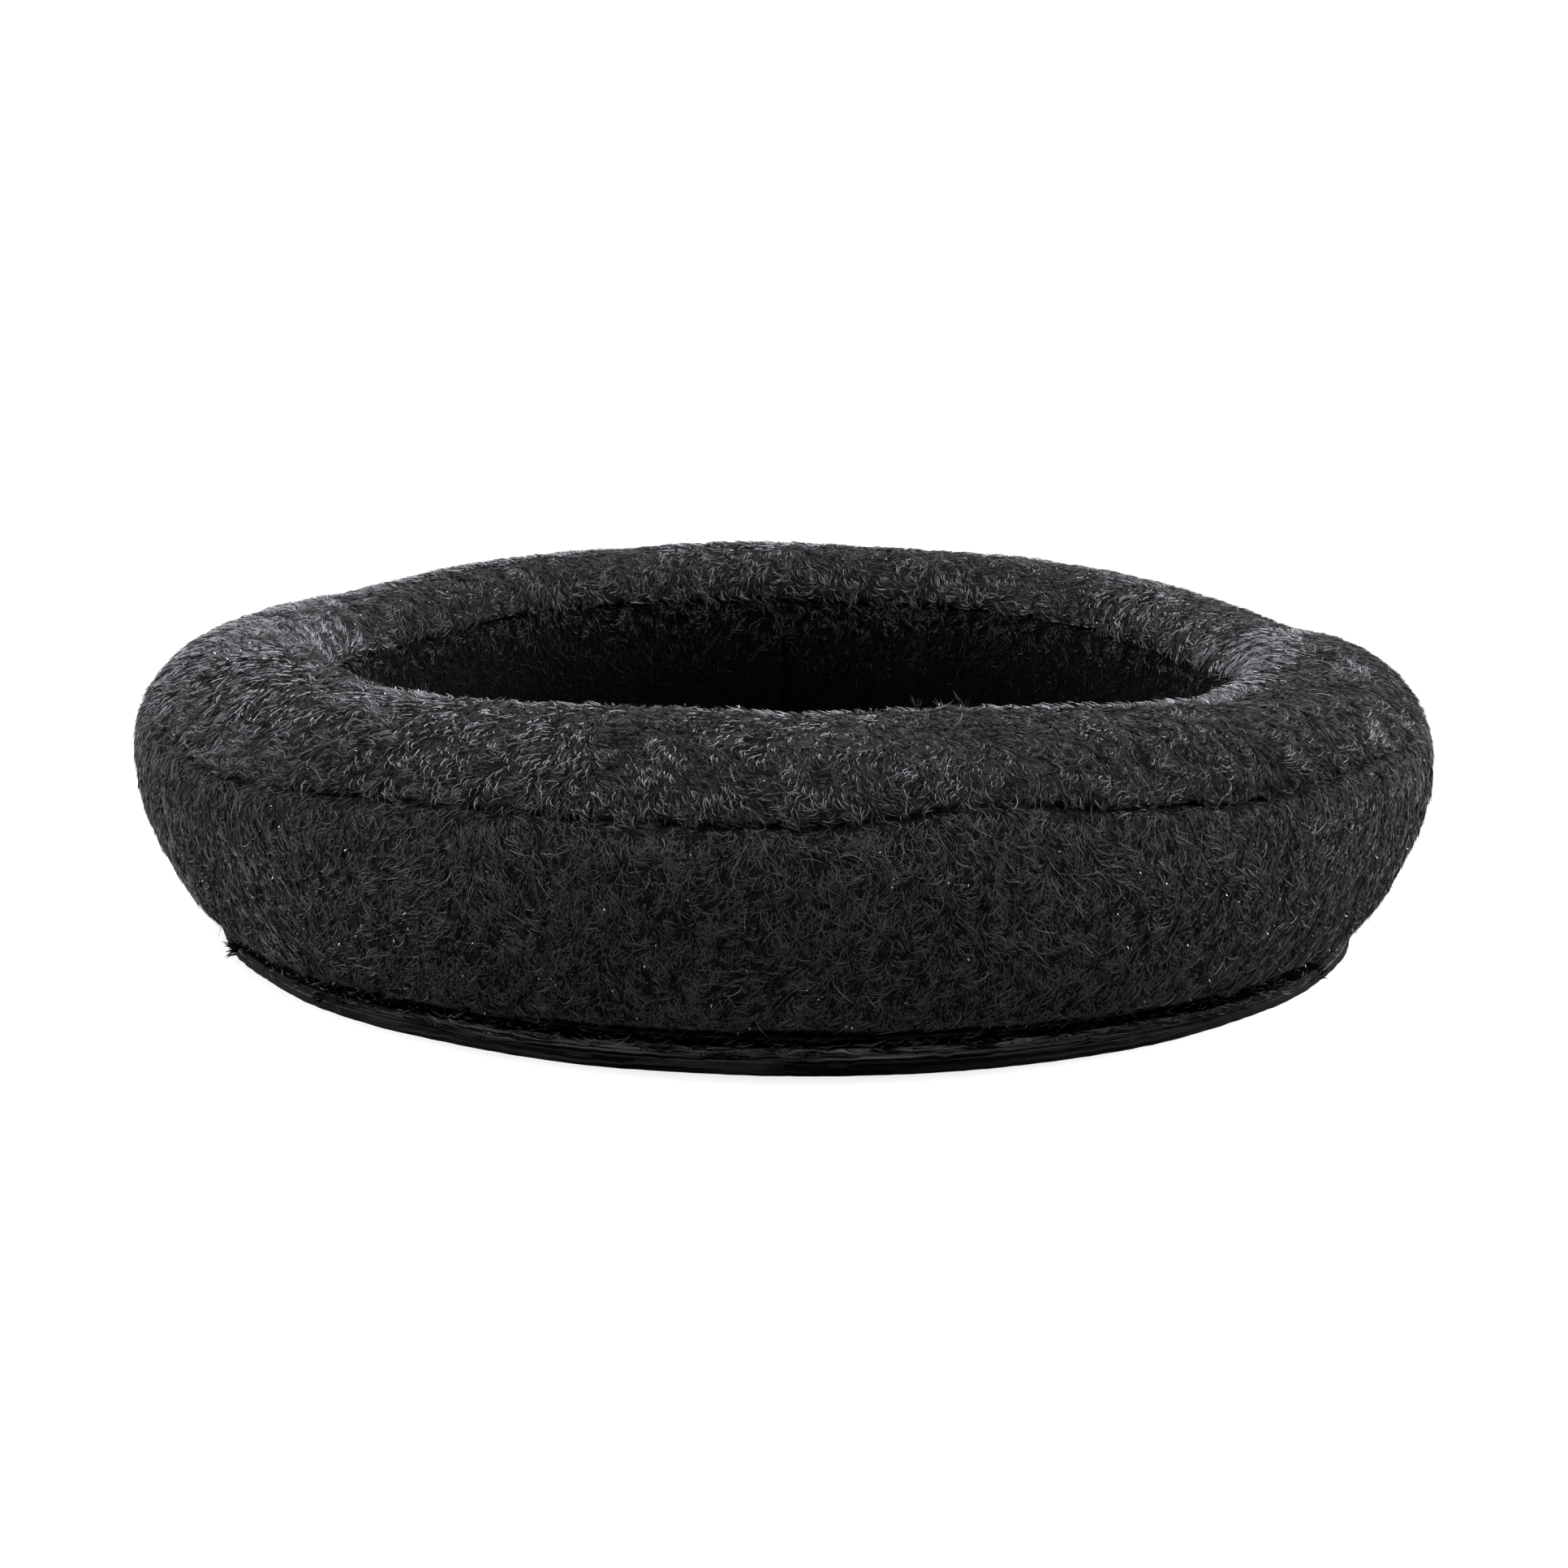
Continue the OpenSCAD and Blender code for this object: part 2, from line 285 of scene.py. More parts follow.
def t_at(curve, z, depth):
    """Where a curve, moved by depth, comes to the height z."""
    low, high = 0, 1
    climbs = curve[3][1] > curve[0][1]
    for _ in range(24):
        mid = (low + high) / 2
        if (inside(curve, mid, depth).y < z) == climbs:
            low = mid
        else:
            high = mid
    return low


RING_ARCS = 30
weld = 0.001 * MM


def from_lowest(corners):
    """The same round of corner numbers, started at its lowest."""
    start = corners.index(min(corners))
    return corners[start:] + corners[:start]


def spun(name, profile, steps, skin=()):
    """A closed profile of (radius, height) points turned once round Z into a smooth ring.
    skin holds each point's share, from 0 to 1, in what the outer surface does. Welding leaves the
    faces in no fixed order, so they are made again in one, because fibres are drawn face by face."""
    bm = bmesh.new()
    share = bm.verts.layers.float.new("skin")
    corners = [bm.verts.new((p[0], 0, p[1])) for p in profile]
    for corner, s in zip(corners, skin):
        corner[share] = s
    edges = [bm.edges.new((p, q)) for p, q in zip(corners, corners[1:] + corners[:1])]
    arc = 2 * math.pi / RING_ARCS
    bmesh.ops.spin(
        bm, geom=corners + edges, cent=(0, 0, 0), axis=(0, 0, 1), dvec=(0, 0, 0),
        angle=arc, steps=steps // RING_ARCS, use_merge=False, use_normal_flip=False, use_duplicate=False,
    )
    bmesh.ops.delete(bm, geom=[e for e in bm.edges if not e.link_faces], context="EDGES")
    first_arc = bm.verts[:] + bm.edges[:] + bm.faces[:]
    for copy in range(1, RING_ARCS):
        more = bmesh.ops.duplicate(bm, geom=first_arc)["geom"]
        turned = [v for v in more if isinstance(v, bmesh.types.BMVert)]
        bmesh.ops.rotate(
            bm, verts=turned, cent=(0, 0, 0), matrix=Matrix.Rotation(copy * arc, 3, "Z")
        )
    bmesh.ops.remove_doubles(bm, verts=bm.verts, dist=weld)
    bmesh.ops.recalc_face_normals(bm, faces=bm.faces)
    bm.verts.index_update()
    bm.verts.ensure_lookup_table()
    rounds = sorted(from_lowest([corner.index for corner in face.verts]) for face in bm.faces)
    bmesh.ops.delete(bm, geom=bm.edges[:], context="EDGES_FACES")
    for corners in rounds:
        bm.faces.new([bm.verts[i] for i in corners]).smooth = True
    mesh = bpy.data.meshes.new(name)
    bm.to_mesh(mesh)
    bm.free()
    return link(bpy.data.objects.new(name, mesh))


# Where the cushion isn't even: each is (direction in degrees, width in radians, amount). Amounts
# are in millimetres, apart from the pinches, which are shares of the height.
crown_lifts = [(153, 0.36, -1.4), (100, 0.3, 0.3), (19, 0.33, -1.8)]
rim_lifts = [(270, 0.55, 0.6), (320, 0.25, -0.8), (224, 0.25, -0.9)]
inner_seam_drops = [(92, 0.6, 0.5)]
wall_hangs = [(225, 0.3, 0.3), (195, 0.3, -0.5)]
edge_pinches = [(207, 0.45, 0.55), (330, 0.35, 0.4)]
edge_cuts = [(198, 0.35, -0.6)]
seam_drops = [(220, 0.26, 1.3), (285.5, 0.15, -0.95), (311, 0.12, 0.5)]


def uneven(point, places):
    """The sum of what a list of uneven places does in a point's direction from the axis."""
    total = 0
    for degrees, width, amount in places:
        off = math.atan2(point.y, point.x) - math.radians(degrees)
        off = (off + math.pi) % (2 * math.pi) - math.pi
        total += amount * math.exp(-(off / width) ** 2)
    return total


def ease(share):
    """A smooth rise from 0 to 1."""
    share = min(1, max(0, share))
    return share * share * (3 - 2 * share)


def near(value, middle, reach):
    """How near a value is to a middle: 1 on it, and almost 0 at twice the reach from it."""
    return math.exp(-((value - middle) / reach) ** 2)


rim_r = 38 * MM
rim_reach = 4.5 * MM
inner_seam_reach = 2 * MM
outer_seam_reach = 2.6 * MM
hang_r = 43.8 * MM
hang_low_z = 3 * MM
hang_height = 5 * MM


def settle(point):
    """The crown lies lower in places, the seams run in slow waves, the outer seam sags, and the
    wall hangs over the sewn edge, most of all on the left and the right."""
    angle = math.atan2(point.y, point.x)
    radius = point.xy.length
    up = min(1, max(0, (point.z - hem_top) / (pad_top - hem_top)))
    waves = 0.12 * math.sin(5 * angle + 1) + 0.08 * math.sin(11 * angle + 2.5)
    lift = uneven(point, crown_lifts) + waves * up
    spoke = Vector((math.cos(angle), math.sin(angle), 0))
    lift += uneven(point, rim_lifts) * near(radius, rim_r, rim_reach)
    at_inner = near(point.z, inner_seam_z, inner_seam_reach) * (radius < rim_r + 2 * MM)
    lift -= uneven(point, inner_seam_drops) * at_inner
    at_seam = near(point.z, outer_seam_z, outer_seam_reach) * (radius > flange_r)
    ripple = 0.12 * noise.noise(spoke * 14) + 0.1 * noise.noise(spoke * 40)
    drop = 0.15 + uneven(point, seam_drops) - ripple
    hang = (0.4 + 0.9 * abs(spoke.x) + uneven(point, wall_hangs)) * ease((radius - hang_r) / (2 * MM))
    hang *= 1 - ease((point.z - hang_low_z) / hang_height)
    point.z += MM * (up * lift - at_seam * drop - hang)
    point.xy += spoke.xy * (0.3 * MM * at_seam * drop)


pinch_r = 42.8 * MM
pinch_reach = 1.4 * MM
cut_reach = 0.6 * MM


def trim(piece, layer):
    """The plies of the base are cut by hand: their edges stick out unevenly, each in its own way,
    and on the left and the right they are pressed together."""
    edge_top = hem_top + 0.1 * MM
    for vertex in piece.data.vertices:
        pinch = uneven(vertex.co, edge_pinches) * ease((vertex.co.xy.length - pinch_r) / pinch_reach)
        if vertex.co.z < edge_top:
            vertex.co.z *= 1 - pinch
        if vertex.co.xy.length > flange_r - cut_reach and vertex.co.z < edge_top:
            spoke = vertex.co.xy.normalized().to_3d()
            out = 0.45 + 0.25 * noise.noise(spoke * 5 + Vector((0, 0, layer)))
            out += 0.1 * noise.noise(spoke * 50 + Vector((0, 0, layer))) + uneven(spoke, edge_cuts)
            vertex.co += spoke * (out * MM)


def noise_at(point, size):
    """Smooth noise in space, with lumps of that size in millimetres."""
    return noise.noise(point / (size * MM))


foam_d = cloth_t + foam_gap
foam_foot = t_at(throat_low, hem_top, foam_d)
stitch_room = 0.55 * MM
outer_slot_top = face_outer_z + cloth_t + stitch_room
outer_slot_low = wall_outer_z - cloth_t - stitch_room
inner_slot_top = face_inner_z + cloth_t + stitch_room
inner_slot_low = wall_inner_z - cloth_t - stitch_room
foam_top_t = t_at(upper_wall, outer_slot_top, foam_d)
foam_wall_t = t_at(upper_wall, outer_slot_low, foam_d)
foam_crown_t = t_at(crown_side, inner_slot_top, foam_d)
foam_throat_t = t_at(throat_top, inner_slot_low, foam_d)
outer_seam_r = inside(upper_wall, t_at(upper_wall, outer_seam_z, 0), 0).x
outer_edge_r = outer_seam_r - seam_allowance
inner_edge_r = inner_seam_r + seam_allowance
foam_profile = (
    [(foot_r - foam_d, hem_top), (foot_r - foam_d, crease_top + foam_d)]
    + run(lower_wall, 0, 1, foam_d, 1.2 * MM)
    + run(upper_wall, 0, foam_wall_t, foam_d, 1.2 * MM)
    + [inside(upper_wall, foam_wall_t, foam_d)]
    + [(outer_edge_r - foam_gap, outer_slot_low), (outer_edge_r - foam_gap, outer_slot_top)]
    + run(upper_wall, foam_top_t, 1, foam_d, 1.2 * MM)
    + run(crown_side, 0, foam_crown_t, foam_d, 0.8 * MM)
    + [(inner_edge_r + foam_gap, inner_slot_top), (inner_edge_r + foam_gap, inner_slot_low)]
    + run(throat_top, foam_throat_t, 1, foam_d, 1.2 * MM)
    + run(throat_low, 0, foam_foot, foam_d, 1.2 * MM)
    + [inside(throat_low, foam_foot, foam_d)]
)


def shader_group(name, inputs, outputs):
    """An empty group of shader nodes with those sockets: (tree, its inputs, its outputs)."""
    tree = bpy.data.node_groups.new(name, "ShaderNodeTree")
    for label, kind, value in inputs:
        socket = tree.interface.new_socket(label, in_out="INPUT", socket_type=kind)
        socket.default_value = value
    for label, kind in outputs:
        tree.interface.new_socket(label, in_out="OUTPUT", socket_type=kind)
    return tree, tree.nodes.new("NodeGroupInput"), tree.nodes.new("NodeGroupOutput")


COLOUR, NUMBER = "NodeSocketColor", "NodeSocketFloat"


def mix_colour(tree, factor, first, second):
    node = add_node(tree, "ShaderNodeMix", data_type="RGBA")
    wire(tree, (factor, node.inputs["Factor"]), (first, node.inputs["A"]), (second, node.inputs["B"]))
    return node.outputs["Result"]


def mottle_group():
    """Two colours in soft patches with a fine grain, and the grain's height, for every soft finish."""
    tree, given, made = shader_group(
        "mottle",
        [("Deep", COLOUR, (0, 0, 0, 1)), ("Light", COLOUR, (1, 1, 1, 1)),
         ("Patch size", NUMBER, 6.0), ("Grain size", NUMBER, 0.4), ("Grain share", NUMBER, 0.5)],
        [("Colour", COLOUR), ("Height", NUMBER)],
    )
    coords = add_node(tree, "ShaderNodeTexCoord")
    layers = []
    for label in ("Patch size", "Grain size"):
        scale = add_node(tree, "ShaderNodeMath", operation="DIVIDE")
        scale.inputs[0].default_value = 1 / MM
        node = add_node(tree, "ShaderNodeTexNoise", {"Detail": 3})
        wire(
            tree, (given.outputs[label], scale.inputs[1]), (scale.outputs[0], node.inputs["Scale"]),
            (coords.outputs["Object"], node.inputs["Vector"]),
        )
        layers.append(node.outputs["Fac"])
    blend = add_node(tree, "ShaderNodeMix")
    wire(
        tree, (given.outputs["Grain share"], blend.inputs["Factor"]),
        (layers[0], blend.inputs["A"]), (layers[1], blend.inputs["B"]),
    )
    spread = add_node(tree, "ShaderNodeMapRange", {"From Min": 0.35, "From Max": 0.68})
    wire(
        tree, (blend.outputs["Result"], spread.inputs["Value"]),
        (mix_colour(tree, spread.outputs[0], given.outputs["Deep"], given.outputs["Light"]),
         made.inputs["Colour"]),
        (layers[1], made.inputs["Height"]),
    )
    return tree


mottle = mottle_group()


def use_group(material, group, deep, light, settings):
    """Puts a group's colour on a material, between two colours and with those settings."""
    tree = material.node_tree
    made = add_node(tree, "ShaderNodeGroup", node_tree=group)
    for label, value in {"Deep": (*deep, 1), "Light": (*light, 1), **settings}.items():
        made.inputs[label].default_value = value
    wire(tree, (made.outputs["Colour"], tree.nodes["Principled BSDF"].inputs["Base Color"]))
    return made


def emboss(material, height, strength, depth):
    """Raises a material's surface by a height socket. The depth is in millimetres."""
    tree = material.node_tree
    relief = add_node(tree, "ShaderNodeBump", {"Strength": strength, "Distance": depth * MM})
    wire(
        tree, (height, relief.inputs["Height"]),
        (relief.outputs["Normal"], tree.nodes["Principled BSDF"].inputs["Normal"]),
    )


def soft_material(name, deep, light, patch, grain, grain_share, bump, roughness=0.95, gloss=0.1):
    """A matt finish in two mottled colours. Sizes are in millimetres."""
    material = plain_material(name, deep, roughness, gloss)
    sizes = {"Patch size": patch, "Grain size": grain, "Grain share": grain_share}
    group = use_group(material, mottle, deep, light, sizes)
    emboss(material, group.outputs["Height"], bump, grain)
    return material


def layered_group():
    """Thin streaks that run round the ring, for cut edges, painted darker on the left and the right as
    painted shade. Lengths and heights are in millimetres."""
    tree, given, made = shader_group(
        "layered",
        [("Deep", COLOUR, (0, 0, 0, 1)), ("Light", COLOUR, (1, 1, 1, 1)),
         ("Streak length", NUMBER, 6.0), ("Streak height", NUMBER, 0.12), ("Painted side shade", NUMBER, 2.0)],
        [("Colour", COLOUR), ("Height", NUMBER)],
    )

    def sum_node(operation, first, second):
        node = add_node(tree, "ShaderNodeMath", operation=operation)
        for socket, value in zip(node.inputs, (first, second)):
            if isinstance(value, (int, float)):
                socket.default_value = value
            else:
                tree.links.new(value, socket)
        return node.outputs[0]

    coords = add_node(tree, "ShaderNodeTexCoord")
    parts = add_node(tree, "ShaderNodeSeparateXYZ")
    wire(tree, (coords.outputs["Object"], parts.inputs["Vector"]))
    x, y, z = parts.outputs
    turn = sum_node("ARCTAN2", x, sum_node("MULTIPLY", y, -1))
    out = sum_node("SQRT", sum_node("ADD", sum_node("MULTIPLY", x, x), sum_node("MULTIPLY", y, y)), 0)
    streaks = add_node(tree, "ShaderNodeTexNoise", {"Scale": 1, "Detail": 3})
    place = add_node(tree, "ShaderNodeCombineXYZ")
    spread = add_node(tree, "ShaderNodeMapRange", {"From Min": 0.45, "From Max": 0.68})
    # Painted shade: the pale streaks fade out towards the left and the right
    side = sum_node("DIVIDE", sum_node("MULTIPLY", x, x), flange_r ** 2)
    side_unshaded = sum_node("SUBTRACT", 1, sum_node("MULTIPLY", side, given.outputs["Painted side shade"]))
    pale = sum_node("MULTIPLY", spread.outputs[0], side_unshaded)
    wire(
        tree,
        (sum_node("DIVIDE", sum_node("MULTIPLY", turn, flange_r / MM), given.outputs["Streak length"]),
         place.inputs["X"]),
        (sum_node("DIVIDE", sum_node("DIVIDE", sum_node("ADD", out, z), MM), given.outputs["Streak height"]),
         place.inputs["Y"]),
        (place.outputs["Vector"], streaks.inputs["Vector"]),
        (streaks.outputs["Fac"], spread.inputs["Value"]),
        (mix_colour(tree, pale, given.outputs["Deep"], given.outputs["Light"]), made.inputs["Colour"]),
        (streaks.outputs["Fac"], made.inputs["Height"]),
    )
    return tree


layered = layered_group()


def cut_edge(name, deep, light, length, height, roughness):
    """The finish of a ply's cut edge, with streaks of that length and height in millimetres."""
    material = plain_material(name, deep, roughness, gloss=0.03)
    group = use_group(material, layered, deep, light, {"Streak length": length, "Streak height": height})
    emboss(material, group.outputs["Height"], 0.8, 0.1)
    return material


edge_depth = 0.12 * MM


def paint_edge(piece, material, low, high, inner_r):
    """Gives the faces of a piece outside a radius, between two heights, a finish of their own."""
    piece.data.materials.append(material)
    for face in piece.data.polygons:
        if face.center.xy.length > inner_r and low < face.center.z < high:
            face.material_index = len(piece.data.materials) - 1


def soft_piece(piece, material):
    """Gives a piece a material and bakes its place into its mesh."""
    piece.data.materials.append(material)
    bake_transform(piece)


foam = spun("foam_ring", foam_profile, 240)
for vertex in foam.data.vertices:
    settle(vertex.co)
soft_piece(
    foam, soft_material("foam_open_cell", (0.05, 0.05, 0.052), (0.14, 0.14, 0.145), 5, 0.5, 0.8, 0.8),
)
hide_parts("foam_core")


# ---------------------------------------------------------------- The face
# One ring of microsuede over the foam's crown. Its edges are turned in along the outer and the
# inner seam, where the cloth rolls over and puckers a little, and its nap hides the stitches.

RING_STEPS = 900
skin_d = 0.3 * MM
roll = 0.5 * MM
back_spacing = 1.2 * MM
microsuede = soft_material(
    "microsuede", (0.001, 0.001, 0.0011), (0.009, 0.009, 0.0099), 3, 0.35, 0.8, 1.0, gloss=0.05
)


def rolled_edge(start, corner, end, steps=5):
    """Points of a turned cloth edge, from start round the corner to end, without the last one."""
    start, corner, end = Vector(start), Vector(corner), Vector(end)
    shares = [i / steps for i in range(steps)]
    return [start * (1 - s) ** 2 + 2 * corner * s * (1 - s) + end * s * s for s in shares]


def with_skin(*stretches):
    """A profile and its skin shares, from stretches of (points, share at start, share at end)."""
    profile, skin = [], []
    for points, s0, s1 in stretches:
        profile += points
        skin += [s0 + (s1 - s0) * i / max(1, len(points) - 1) for i in range(len(points))]
    return profile, skin


seam_lip_r = outer_seam_r - 0.1 * MM
outer_tuck_r = outer_seam_r - 2 * roll
inner_tuck_r = inner_seam_r + 2 * roll
face_outer_t = t_at(upper_wall, face_outer_z + roll, skin_d)
face_inner_t = t_at(crown_side, face_inner_z + roll, skin_d)
face_outer_top = inside(upper_wall, face_outer_t, skin_d)
face_inner_top = inside(crown_side, face_inner_t, skin_d)
outer_back_t = t_at(upper_wall, face_outer_z + cloth_t, cloth_t)
inner_back_t = t_at(crown_side, face_inner_z + cloth_t, cloth_t)
face_profile, face_skin = with_skin(
    ([(outer_edge_r, face_outer_z), (outer_edge_r + 2 * MM, face_outer_z)], 0, 0),
    (rolled_edge((outer_tuck_r, face_outer_z), (seam_lip_r, face_outer_z), face_outer_top), 0.35, 0.6),
    (run(upper_wall, face_outer_t, 1, skin_d, 0.42 * MM), 0.6, 1),
    (run(crown_side, 0, face_inner_t, skin_d, 0.4 * MM), 1, 0.8),
    (rolled_edge(face_inner_top, (face_inner_top.x, face_inner_z), (inner_tuck_r, face_inner_z)), 0.6, 0),
    ([(inner_tuck_r, face_inner_z), (inner_edge_r, face_inner_z)], 0, 0),
    ([(inner_edge_r, face_inner_z + cloth_t)], 0, 0),
    (run(crown_side, inner_back_t, 0, cloth_t, back_spacing), 0, 0),
    (run(upper_wall, 1, outer_back_t, cloth_t, back_spacing), 0, 0),
    ([inside(upper_wall, outer_back_t, cloth_t), (outer_edge_r, face_outer_z + cloth_t)], 0, 0),
)


faint_seams = [(203, 0.3, 0.9), (247, 0.15, 0.4)]
join_reach = 0.45 * MM


def rumple(piece, seams, join=False):
    """Soft lumps of the foam under the cloth, and puckers that run away from its seams. seams holds
    each seam's (radius, height, puckers round the ring, their reach, depth). A join at the back
    draws the cloth in. Reaches and depths are in millimetres."""
    mesh = piece.data
    share = mesh.attributes["skin"].data
    normals = [n.vector.copy() for n in mesh.vertex_normals]
    for index, vertex in enumerate(mesh.vertices):
        skin = share[index].value
        point = vertex.co.copy()
        if skin > 0:
            rise = 0.16 * noise_at(point, 8) + 0.14 * noise_at(point, 2.6) + 0.1 * noise_at(point, 1.2)
            spoke = point.xy.normalized()
            for seam_r, seam_z, count, reach, depth in seams:
                away = math.hypot(point.xy.length - seam_r, point.z - seam_z) / (reach * MM)
                pucker = noise.noise(Vector((spoke.x, spoke.y, seam_z / MM)) * count / 4)
                rise += 0.35 * pucker * math.exp(-away * away)
                groove = 0.25 + 0.9 * noise.noise(spoke.to_3d() * 6 + Vector((0, 0, seam_z / MM)))
                groove = max(-0.25, groove - uneven(point, faint_seams))
                rise -= depth * groove * math.exp(-(3 * away) ** 2)
            if join and point.y > 0:
                rise -= 0.6 * near(point.x, 0, join_reach)
            vertex.co += normals[index] * (rise * skin * MM)
        settle(vertex.co)


face = spun("face_cloth", face_profile, RING_STEPS, face_skin)
rumple(face, [(outer_seam_r, outer_seam_z, 90, 2.5, 1), (inner_seam_r, inner_seam_z, 60, 4, 0.2)])
face.data.materials.append(microsuede)
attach(face, "face")
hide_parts("face_panel")


# ---------------------------------------------------------------- The outer wall
# A strip of the same microsuede, closed into a ring by one seam at the back. Its lower edge is
# turned out and cut off flush as the top ply of the sewn edge, and its upper edge is turned in.

wall_top_t = t_at(upper_wall, wall_outer_z - roll, skin_d)
wall_top = inside(upper_wall, wall_top_t, skin_d)
wall_back_t = t_at(upper_wall, wall_outer_z - cloth_t, cloth_t)
outer_profile, outer_skin = with_skin(
    ([(flange_r - 0.1 * MM, hem_z), (flange_r, hem_z + 0.1 * MM)], 0.28, 0.28),
    ([(flange_r, hem_z + 0.3 * MM), (flange_r - 0.1 * MM, hem_z + 0.5 * MM)], 0.28, 0.28),
    ([(flange_r - 1 * MM, hem_top), (foot_r + 0.5 * MM, hem_top)], 0, 0),
    ([(foot_r, hem_top + 0.15 * MM), (foot_r, crease_top - 0.1 * MM)], 0, 0),
    (run(lower_wall, 0, 1, skin_d, 0.45 * MM), 0.45, 1),
    (run(upper_wall, 0, wall_top_t, skin_d, 0.42 * MM), 1, 0.6),
    (rolled_edge(wall_top, (seam_lip_r, wall_outer_z), (outer_tuck_r, wall_outer_z)), 0.6, 0.35),
    ([(outer_tuck_r, wall_outer_z), (outer_edge_r, wall_outer_z)], 0, 0),
    ([(outer_edge_r, wall_outer_z - cloth_t)], 0, 0),
    (run(upper_wall, wall_back_t, 0, cloth_t, back_spacing), 0, 0),
    (run(lower_wall, 1, 0, cloth_t, back_spacing), 0, 0),
    ([inside(lower_wall, 0, cloth_t), (foot_r - cloth_t, crease_top + cloth_t)], 0, 0),
    ([(foot_r - cloth_t, hem_z)], 0, 0),
)
outer_wall = spun("outer_wall_cloth", outer_profile, RING_STEPS, outer_skin)
rumple(outer_wall, [(outer_seam_r, outer_seam_z, 90, 2.5, 1), (foot_r, crease_top, 70, 3, 1)], join=True)
soft_piece(outer_wall, microsuede)
cut_top = hem_z + 0.45 * MM
cut_cloth = cut_edge("cut_cloth", (0.0015, 0.0014, 0.0014), (0.12, 0.108, 0.105), 3, 0.15, 0.95)
paint_edge(outer_wall, cut_cloth, hem_z, cut_top, flange_r - edge_depth)
# The flat top of the sewn edge, under the wall's overhang, is painted near-black as painted shade in the
# crease
painted_crease_shade = plain_material("painted_crease_shade", (0.0006, 0.0006, 0.0006), 1, gloss=0)
paint_edge(outer_wall, painted_crease_shade, cut_top, crease_top, foot_r - 0.1 * MM)
trim(outer_wall, 3)
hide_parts("outer_wall")


# ---------------------------------------------------------------- The inner wall
# A second strip of microsuede round the ear opening, closed at the back too. Its edges are turned
# into the foam above, and under the foam below, where it is sewn to the base panel.

inner_top_t = t_at(throat_top, wall_inner_z - roll, skin_d)
inner_top = inside(throat_top, inner_top_t, skin_d)
inner_wall_back_t = t_at(throat_top, wall_inner_z - cloth_t, cloth_t)
inner_hem_t = t_at(throat_low, hem_top, cloth_t)
inner_hem_r = base_hole_r + seam_allowance
inner_profile, inner_skin = with_skin(
    ([(inner_edge_r, wall_inner_z), (inner_seam_r + 2.5 * MM, wall_inner_z)], 0, 0),
    (rolled_edge((inner_tuck_r, wall_inner_z), (inner_top.x, wall_inner_z), inner_top), 0, 0.5),
    (run(throat_top, inner_top_t, 1, skin_d, 0.45 * MM), 0.6, 1),
    (run(throat_low, 0, 0.96, skin_d, 0.5 * MM), 1, 0.2),
    ([(base_hole_r + skin_d, hem_z), (inner_hem_r, hem_z), (inner_hem_r, hem_top)], 0, 0),
    (run(throat_low, inner_hem_t, 0, cloth_t, back_spacing), 0, 0),
    (run(throat_top, 1, inner_wall_back_t, cloth_t, back_spacing), 0, 0),
    ([inside(throat_top, inner_wall_back_t, cloth_t), (inner_edge_r, wall_inner_z - cloth_t)], 0, 0),
)
inner_wall = spun("inner_wall_cloth", inner_profile, RING_STEPS, inner_skin)
rumple(inner_wall, [(inner_seam_r, inner_seam_z, 60, 3, 0.2)], join=True)
# The inner wall has the microsuede's mottle in much darker colours: painted shade inside the ring
inner_suede_painted_shade = soft_material(
    "inner_suede_painted_shade", (0.0005, 0.0005, 0.0006), (0.002, 0.002, 0.0021), 3, 0.35, 0.8, 1.0, gloss=0.01
)
soft_piece(inner_wall, inner_suede_painted_shade)
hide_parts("inner_wall")


# ---------------------------------------------------------------- The base panel
# A ring of thin stiff sheet, cut flush with the sewn edge, that keeps the cushion round and flat.
# Its edge shows as the thin lighter line between the cloth and the leatherette.

panel_inset = 0.3 * MM
base_profile = [
    (base_hole_r, panel_z), (flange_r - panel_inset, panel_z), (flange_r - panel_inset, hem_z - 0.3 * MM),
    (flange_r, hem_z - 0.25 * MM), (flange_r, hem_z - 0.05 * MM), (flange_r - 0.05 * MM, hem_z),
    (base_hole_r, hem_z),
]
base_panel = spun("base_panel_sheet", base_profile, 360)
base_panel.data.materials.append(
    cut_edge("stiff_sheet", (0.0015, 0.0014, 0.0014), (0.13, 0.118, 0.114), 9, 0.2, 0.9)
)
trim(base_panel, 2)
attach(base_panel, "base")
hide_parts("base_panel")


# ---------------------------------------------------------------- The skirt
# A ring of stretchy leatherette, sewn to the panel along the outer edge only. Its free inner edge
# is pulled over the rim of the ear cup, and at rest it lies almost flat under the panel.

skirt_hole_r = radii("mounting_skirt")[0]
skirt_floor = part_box("mounting_skirt")[0].z
lip_top = panel_z - 0.3 * MM
lip_r = foot_r - cloth_t
skirt_profile = (
    [(skirt_hole_r + 0.15 * MM, skirt_floor)]
    + [(skirt_hole_r + i * (flange_r - skirt_hole_r) / 12, skirt_floor) for i in range(1, 12)]
    + [(flange_r - 0.15 * MM, skirt_floor), (flange_r, skirt_floor + 0.15 * MM)]
    + [(flange_r, panel_z - 0.15 * MM), (flange_r - 0.15 * MM, panel_z), (lip_r, panel_z)]
    + [(lip_r - i * (lip_r - skirt_hole_r) / 8, lip_top) for i in range(8)]
    + [(skirt_hole_r + 0.15 * MM, lip_top), (skirt_hole_r, (skirt_floor + lip_top) / 2)]
)
skirt = spun("skirt_leatherette", skirt_profile, 480)


